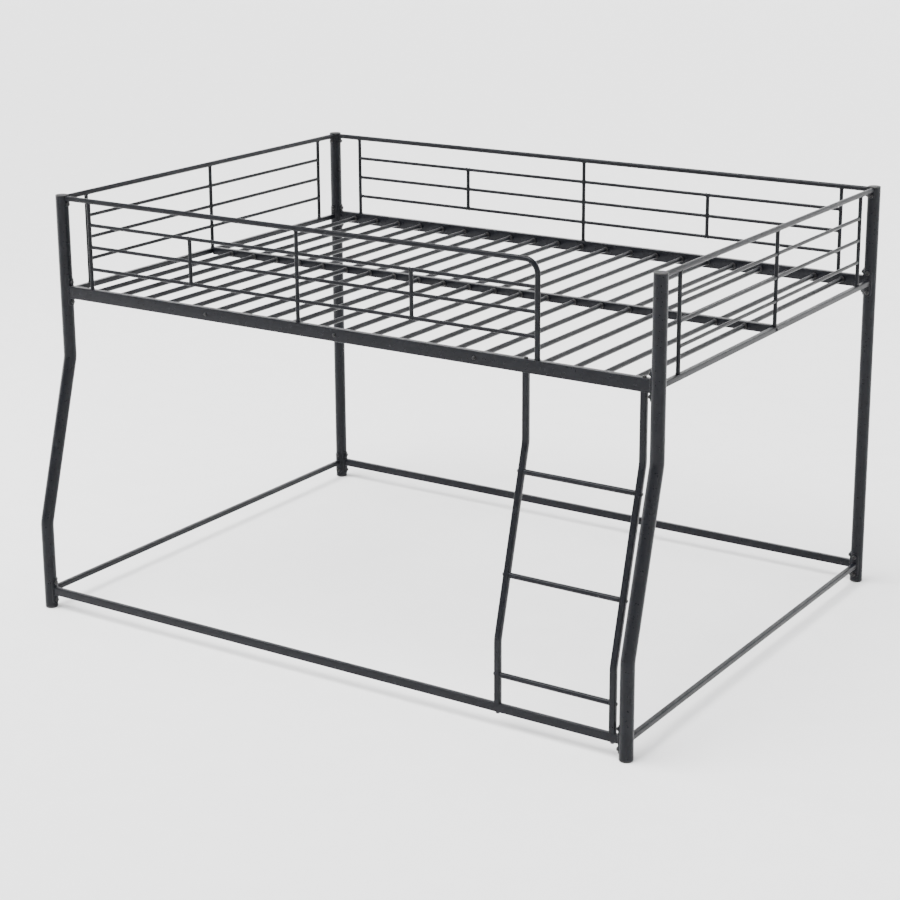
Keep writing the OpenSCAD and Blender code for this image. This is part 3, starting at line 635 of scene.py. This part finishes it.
class BUNK_OT_rails(BedOperator):
    """Builds the upper rails, the floor rails and the deck's middle beam, with their plates"""

    bl_idname = "bunk.rails"
    bl_label = "Rails"

    def execute(self, context):
        bed, size = Bed(), settings(context)
        low, high = node_box("deck_beam")
        end = size.end_rail_side
        sections = {
            "side_rail_front": (size.side_rail_width, size.side_rail_height),
            "side_rail_back": (size.side_rail_width, size.side_rail_height),
            "end_rail_left": (end, end), "end_rail_right": (end, end),
            "floor_rail_front": (size.floor_rail_width, size.floor_rail_height),
            "floor_rail_back": (size.floor_rail_width, size.floor_rail_height),
            "floor_rail_left": (end, end), "floor_rail_right": (end, end),
            "deck_beam": (high[1] - low[1], high[2] - low[2]),
        }
        for name, (width, height) in sections.items():
            surfaces = rail(bed, size, name, width, height, seated=name != "deck_beam")
            make_piece(f"{name}_tube", surfaces, powder_coat(context), [name])
        return {"FINISHED"}


class BUNK_OT_guards(BedOperator):
    """Builds the four welded guards round the upper bunk"""

    bl_idname = "bunk.guards"
    bl_label = "Guards"

    def execute(self, context):
        bed, size = Bed(), settings(context)
        coat = powder_coat(context)
        length, width = 2 * bed.post_x, bed.back_y - bed.front_y
        inset = bed.post_radius + size.seat_gap + size.plate_thickness / 2
        gap = size.guard_end_gap
        left, right = -bed.post_x * X, bed.post_x * X
        back, front = bed.back_y * Y, bed.front_y * Y

        full = np.array([gap, length / 2, length - gap])
        surfaces = guard(bed, size, "guard_back", X, left + back, (inset, length - inset), full[[0, -1]],
                         full, (full[:-1] + full[1:]) / 2, [(left + back, X), (right + back, -X)])
        make_piece("guard_back_tubes", surfaces, coat, ["guard_back"])

        for name, side in (("guard_left", left), ("guard_right", right)):
            full = np.array([gap, width / 2, width - gap])
            surfaces = guard(bed, size, name, Y, side + front, (inset, width - inset), full[[0, -1]],
                             full, [], [(side + front, Y), (side + back, -Y)])
            make_piece(f"{name}_tubes", surfaces, coat, [name])

        make_piece("guard_front_tubes", self.front(bed, size, left + front, inset), coat,
                   ["guard_front"])
        return {"FINISHED"}

    def front(self, bed, size, start, inset):
        """The front guard, whose top tube turns down in a quarter circle to stand on the rail.
        On the bend it goes on by the radius times the sine, and down by it less its cosine."""
        low, high = node_box("guard_front")
        radius, bend = size.guard_top / 2, size.guard_bend_radius
        end = high[0] - radius - start[0]
        top = high[2] - radius
        marks = size.guard_end_gap + size.front_bay * np.arange(FRONT_UPRIGHTS)
        surfaces = guard(bed, size, "guard_front", X, start, None, (marks[0], end), marks[::2],
                         marks[1::2], [(start, X)])
        turn = np.linspace(0, np.pi / 2, BEND_STEPS)
        along = np.concatenate([[inset], end - bend + bend * np.sin(turn), [end]])
        height = np.concatenate([[top], top - bend + bend * np.cos(turn), [low[2]]])
        path = start * (1, 1, 0) + along[:, None] * X + height[:, None] * Z
        lean = np.concatenate([[0], turn, [np.pi / 2]])
        upwards = np.sin(lean)[:, None] * X + np.cos(lean)[:, None] * Z
        surfaces.append(wall(*(carried(circle(r, size.round_sides), path, Y, upwards)
                               for r in (radius, radius - size.rail_wall))))
        surfaces.append(foot_bead(path[-1], radius, size.bead_radius))
        surfaces += [joint_bead(path[-1] * (1, 1, 0) + z * Z, -X, Z, size.guard_bar / 2, radius,
                                size.bead_radius) for z in bar_heights(size, top)]
        return surfaces


class BUNK_OT_slats(BedOperator):
    """Builds the round slats of the deck and the moulded collars on their ends"""

    bl_idname = "bunk.slats"
    bl_label = "Slats"

    def execute(self, context):
        size, coat = settings(context), powder_coat(context)
        for name in SLATS:
            surfaces = []
            for points in islands(name):
                low, high = points.min(0), points.max(0)
                middle = (low + high) / 2
                surfaces.append(straight_tube([middle[0], low[1], middle[2]], [middle[0], high[1], middle[2]],
                                              (high[0] - low[0]) / 2, size.slat_wall, size.round_sides))
            make_piece(f"{name}_tubes", surfaces, coat, [name])
        collars = [self.collar(size, points) for points in islands("slat_plugs")]
        make_piece("slat_plugs_moulded", collars, moulded_plastic(context), ["slat_plugs"])
        return {"FINISHED"}

    def collar(self, size, points):
        """A collar with a rounded mouth round its slat, and a spigot into the rail. The section
        runs out along the spigot, round the collar and back down the hole for the slat."""
        low, high = points.min(0), points.max(0)
        middle, radius = (low + high) / 2, (high[0] - low[0]) / 2
        spread = np.hypot(points[:, 0] - middle[0], points[:, 2] - middle[2])
        near = 1e-4
        widest = points[spread > radius - near]
        way = 1.0 if widest[:, 1].mean() > middle[1] else -1.0
        total, body = high[1] - low[1], np.ptp(widest[:, 1])
        spigot_end = np.array([middle[0], low[1] if way > 0 else high[1], middle[2]])
        step = total - body
        spigot = spread[np.abs(points[:, 1] - spigot_end[1]) < near].max()
        hole, base = radius - COLLAR_WALL, step + size.collar_base
        distance = [0, 0, CHAMFER, step, step, step + COLLAR_EDGE, total - COLLAR_ROUND,
                    total - COLLAR_ROUND * ROUND_MIDDLE, total, total, base, base]
        rings = [0, spigot - CHAMFER, spigot, spigot, radius - COLLAR_EDGE, radius, radius,
                 radius - COLLAR_ROUND * ROUND_MIDDLE, radius - COLLAR_ROUND, hole, hole, 0]
        return turned(spigot_end, way * Y, distance, rings, COLLAR_SIDES)


class BUNK_OT_ladder(BedOperator):
    """Builds the ladder's two bent stiles and its round rungs"""

    bl_idname = "bunk.ladder"
    bl_label = "Ladder"

    def execute(self, context):
        size, coat = settings(context), powder_coat(context)
        for name in ("ladder_stile_left", "ladder_stile_right"):
            low, high = node_box(name)
            half = size.stile_depth / 2
            path = bend_path((low[1] + half, low[2]), (high[1] - half, high[2]), size.stile_low_bend,
                             size.stile_high_bend, size.stile_bend_radius)
            outlines = [rounded_outline(high[0] - low[0] - 2 * w, size.stile_depth - 2 * w,
                                        size.stile_corner - w) for w in (0, size.rail_wall)]
            x, wall_half = (low[0] + high[0]) / 2, size.rail_wall / 2
            plate = rounded_outline(high[0] - low[0] - 2 * wall_half, size.stile_depth - 2 * wall_half,
                                    size.stile_corner - wall_half)
            plates = [end_plate(plate, np.array([x, path[0][k], path[1][k]]), inward, size.end_plate, X, Y)
                      for k, inward in ((0, Z), (-1, -Z))]
            make_piece(f"{name}_tube", [bent_wall(x, path, *outlines), *plates], coat, [name])
        for name in RUNGS:
            low, high = node_box(name)
            middle, radius = (low + high) / 2, (high[2] - low[2]) / 2
            ends = [[x, middle[1], middle[2]] for x in (low[0], high[0])]
            make_piece(f"{name}_tube", [straight_tube(*ends, radius, size.rail_wall, RUNG_SIDES)], coat,
                       [name])
        return {"FINISHED"}


class BUNK_OT_fixings(BedOperator):
    """Builds the bolts with their domed heads, and finishes the nuts and inserts in the tubes"""

    bl_idname = "bunk.fixings"
    bl_label = "Fixings"

    def execute(self, context):
        finish = black_fixing(context)
        for name in [n for n in NODES if n.endswith("_bolts")]:
            bolts = [self.bolt(points) for points in islands(name)]
            make_piece(f"{name}_turned", bolts, finish, [name], BOLT_SMOOTH_ANGLE)
        for name in ("post_nuts", "slat_tie_inserts"):
            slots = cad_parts[name].data.materials
            slots.clear()
            slots.append(finish)
        return {"FINISHED"}

    def bolt(self, points):
        """A bolt along its solid's longest side: a hexagon socket, a domed head that falls off
        as a quarter circle, and a shank. The head is at the end where the points spread widest."""
        low, high = points.min(0), points.max(0)
        middle, size = (low + high) / 2, high - low
        k = int(np.argmax(size))
        spread = np.linalg.norm(np.delete(points - middle, k, 1), axis=1)
        head, near = spread.max(), 1e-5
        wide = points[spread > head - near][:, k]
        way = 1.0 if wide.mean() > middle[k] else -1.0
        outward = way * np.eye(3)[k]
        tip = spread[np.abs((points - middle)[:, k] + way * size[k] / 2) < near].max()
        under = size[k] / 2 - np.min(way * (wide - middle[k]))
        socket, depth = tip * SOCKET_RADIUS, under * SOCKET_DEPTH
        arc = np.linspace(0, np.pi / 2, DOME_ROWS)[1:]
        flat = head * HEAD_FLAT
        distance = [depth, depth, SOCKET_BEVEL_DEPTH, 0, 0, *(under * HEAD_DOME * (1 - np.cos(arc))),
                    under, under, size[k] - CHAMFER, size[k], size[k]]
        rings = [0, socket, socket, socket + SOCKET_BEVEL_WIDTH, flat, *(flat + (head - flat) * np.sin(arc)),
                 head, tip, tip, tip - CHAMFER, 0]
        in_socket = [1, 1, 1] + [0] * (len(rings) - 3)
        return turned(middle + outward * size[k] / 2, -outward, distance, rings, BOLT_SIDES, in_socket)


# ---- Finishes, all on Object coordinates ----


def finish_material(name, colour, roughness, grain, depth, variation):
    """A finish with fine grain as bump, and two broader noises that vary the colour and the
    roughness a little, as a sprayed or moulded surface varies."""
    known = bpy.data.materials.get(name)
    if known:
        return known
    material = bpy.data.materials.new(name)
    material.use_nodes = True
    nodes, links = material.node_tree.nodes, material.node_tree.links
    shader = nodes["Principled BSDF"]
    place = nodes.new("ShaderNodeTexCoord").outputs["Object"]

    def noise(scale, detail):
        node = nodes.new("ShaderNodeTexNoise")
        node.inputs["Scale"].default_value = scale
        node.inputs["Detail"].default_value = detail
        links.new(place, node.inputs["Vector"])
        return node.outputs["Fac"]

    def spread(source, low, high):
        node = nodes.new("ShaderNodeMapRange")
        node.inputs["From Min"].default_value, node.inputs["From Max"].default_value = 0.3, 0.7
        node.inputs["To Min"].default_value, node.inputs["To Max"].default_value = low, high
        links.new(source, node.inputs["Value"])
        return node.outputs["Result"]

    tint = nodes.new("ShaderNodeMix")
    tint.data_type = "RGBA"
    tint.inputs["A"].default_value = (*(c * (1 - variation) for c in colour), 1)
    tint.inputs["B"].default_value = (*(c * (1 + variation) for c in colour), 1)
    links.new(spread(noise(scale=9, detail=3), 0, 1), tint.inputs["Factor"])
    links.new(tint.outputs["Result"], shader.inputs["Base Color"])
    uneven = 0.05
    links.new(spread(noise(scale=160, detail=4), roughness - uneven, roughness + uneven),
              shader.inputs["Roughness"])
    bump = nodes.new("ShaderNodeBump")
    bump.inputs["Strength"].default_value = 0.6
    bump.inputs["Distance"].default_value = depth
    links.new(noise(scale=grain, detail=2), bump.inputs["Height"])
    links.new(bump.outputs["Normal"], shader.inputs["Normal"])
    return material


def powder_coat(context):
    """Satin black powder coat with fine orange peel"""
    look = context.scene.bed_finishes
    material = finish_material("satin_powder_coat", look.coat_colour, look.coat_roughness, grain=750,
                               depth=look.peel_depth, variation=0.12)
    shader = material.node_tree.nodes["Principled BSDF"]
    shader.inputs["Specular IOR Level"].default_value = look.coat_specular
    return material


def moulded_plastic(context):
    """Matte moulded plastic with a spark-eroded grain"""
    return finish_material("matte_moulded_plastic", context.scene.bed_finishes.plastic_colour,
                           roughness=0.58, grain=1400, depth=0.00008, variation=0.08)


def black_fixing(context):
    """Blackened steel of the bolts and nuts"""
    material = finish_material("blackened_steel", context.scene.bed_finishes.fixing_colour,
                               roughness=0.33, grain=2200, depth=0.00002, variation=0.2)
    material.node_tree.nodes["Principled BSDF"].inputs["Metallic"].default_value = 0.35
    return material


# ---- Studio ----


class BUNK_OT_studio(BedOperator):
    """Adds the pale floor, the soft lights and the camera"""

    bl_idname = "bunk.studio"
    bl_label = "Studio"

    def execute(self, context):
        studio = context.scene.bed_studio
        middle = np.array(CAD_BOX[0] + CAD_BOX[1]) / 2
        self.floor(studio)
        self.lights(context, studio, middle)
        self.camera(context, studio, middle)
        return {"FINISHED"}

    def floor(self, studio):
        """A floor at the height of the feet, turned about Z, that rises far off on a quarter circle
        into an upright wall: out by the radius times the sine, up by it less its cosine."""
        turn = np.linspace(0, np.pi / 2, SWEEP_ROWS)
        out = np.concatenate([[FLOOR_HUB, FLOOR_FLAT / 2], FLOOR_FLAT + FLOOR_SWEEP * np.sin(turn),
                              [FLOOR_FLAT + FLOOR_SWEEP]])
        up = np.concatenate([[0, 0], FLOOR_SWEEP * (1 - np.cos(turn)), [FLOOR_TOP]])
        spokes = np.arange(FLOOR_SPOKES)
        grid = np.concatenate([out[:, None, None] * circle(1, FLOOR_SPOKES),
                               np.tile(up[:, None, None], (1, FLOOR_SPOKES, 1))], -1)
        rows, here = np.meshgrid(np.arange(len(out) - 1) * FLOOR_SPOKES, spokes, indexing="ij")
        beside, further = (here + 1) % FLOOR_SPOKES, rows + FLOOR_SPOKES
        quads = np.stack([rows + here, further + here, further + beside, rows + beside], -1).reshape(-1, 4)
        mesh = bpy.data.meshes.new("studio_floor")
        mesh.from_pydata(grid.reshape(-1, 3) + CAD_BOX[0][2] * Z, [], [*quads, spokes])
        mesh.shade_smooth()
        floor = bpy.data.objects.new("studio_floor", mesh)
        bpy.context.scene.collection.objects.link(floor)
        mesh.materials.append(finish_material("pale_floor", studio.floor_colour, roughness=0.7, grain=60,
                                              depth=0.0002, variation=0.01))

    def lights(self, context, studio, middle):
        """A broad light overhead, a tall softbox on the left, and light from all round."""
        world = bpy.data.worlds.new("studio_room")
        world.use_nodes = True
        background = world.node_tree.nodes["Background"]
        background.inputs["Color"].default_value = ROOM_COLOUR
        background.inputs["Strength"].default_value = studio.room_brightness
        context.scene.world = world
        overhead = bpy.data.lights.new("overhead_light", "SUN")
        overhead.energy, overhead.angle = studio.overhead_strength, studio.overhead_spread
        softbox = bpy.data.lights.new("softbox_left", "AREA")
        softbox.shape, softbox.size, softbox.size_y = "RECTANGLE", SOFTBOX_WIDTH, SOFTBOX_HEIGHT
        softbox.energy = studio.softbox_power
        for light, place in ((overhead, OVERHEAD_PLACE), (softbox, SOFTBOX_PLACE)):
            lamp = bpy.data.objects.new(light.name, light)
            lamp.location = place
            lamp.rotation_euler = (Vector(middle) - place).to_track_quat("-Z", "Y").to_euler()
            context.scene.collection.objects.link(lamp)

    def camera(self, context, studio, middle):
        """The camera looks at its aim from the azimuth and elevation, turned by its roll."""
        level = math.cos(studio.elevation)
        back = Vector((math.sin(studio.azimuth) * level, -math.cos(studio.azimuth) * level,
                       math.sin(studio.elevation)))
        camera = bpy.data.cameras.new("studio_camera")
        camera.lens, camera.sensor_width, camera.shift_y = studio.lens, 36, studio.lens_shift
        camera.clip_end = 200
        eye = bpy.data.objects.new("studio_camera", camera)
        turn = (-back).to_track_quat("-Z", "Y").to_matrix() @ Matrix.Rotation(-studio.roll, 3, "Z")
        eye.matrix_world = Matrix.Translation(Vector(middle) + Vector(studio.aim)
                                              + back * studio.distance) @ turn.to_4x4()
        context.scene.collection.objects.link(eye)
        context.scene.camera = eye


# ---- Add-on ----

OPERATORS = (BUNK_OT_posts, BUNK_OT_caps_and_feet, BUNK_OT_rails, BUNK_OT_guards, BUNK_OT_slats,
             BUNK_OT_ladder, BUNK_OT_fixings, BUNK_OT_studio)


class VIEW3D_PT_bunk_bed(bpy.types.Panel):
    """Lists the bed's groups of pieces in the sidebar"""

    bl_label = "Bunk Bed"
    bl_space_type = "VIEW_3D"
    bl_region_type = "UI"
    bl_category = "Bunk Bed"

    def draw(self, context):
        for operator in OPERATORS:
            self.layout.operator(operator.bl_idname)
        for group in (context.scene.bed_sizes, context.scene.bed_finishes, context.scene.bed_studio):
            box = self.layout.box()
            for name in group.__annotations__:
                box.prop(group, name)


GROUPS = {"bed_sizes": BedSizes, "bed_finishes": BedFinishes, "bed_studio": StudioSettings}
CLASSES = (*GROUPS.values(), *OPERATORS, VIEW3D_PT_bunk_bed)


def register():
    for cls in CLASSES:
        bpy.utils.register_class(cls)
    for name, group in GROUPS.items():
        setattr(bpy.types.Scene, name, PointerProperty(type=group))


def unregister():
    for name in GROUPS:
        delattr(bpy.types.Scene, name)
    for cls in reversed(CLASSES):
        bpy.utils.unregister_class(cls)


def main():
    """Builds every group in order."""
    register()
    for operator in OPERATORS:
        getattr(bpy.ops.bunk, operator.bl_idname.split(".")[1])()


if __name__ == "__main__":
    main()
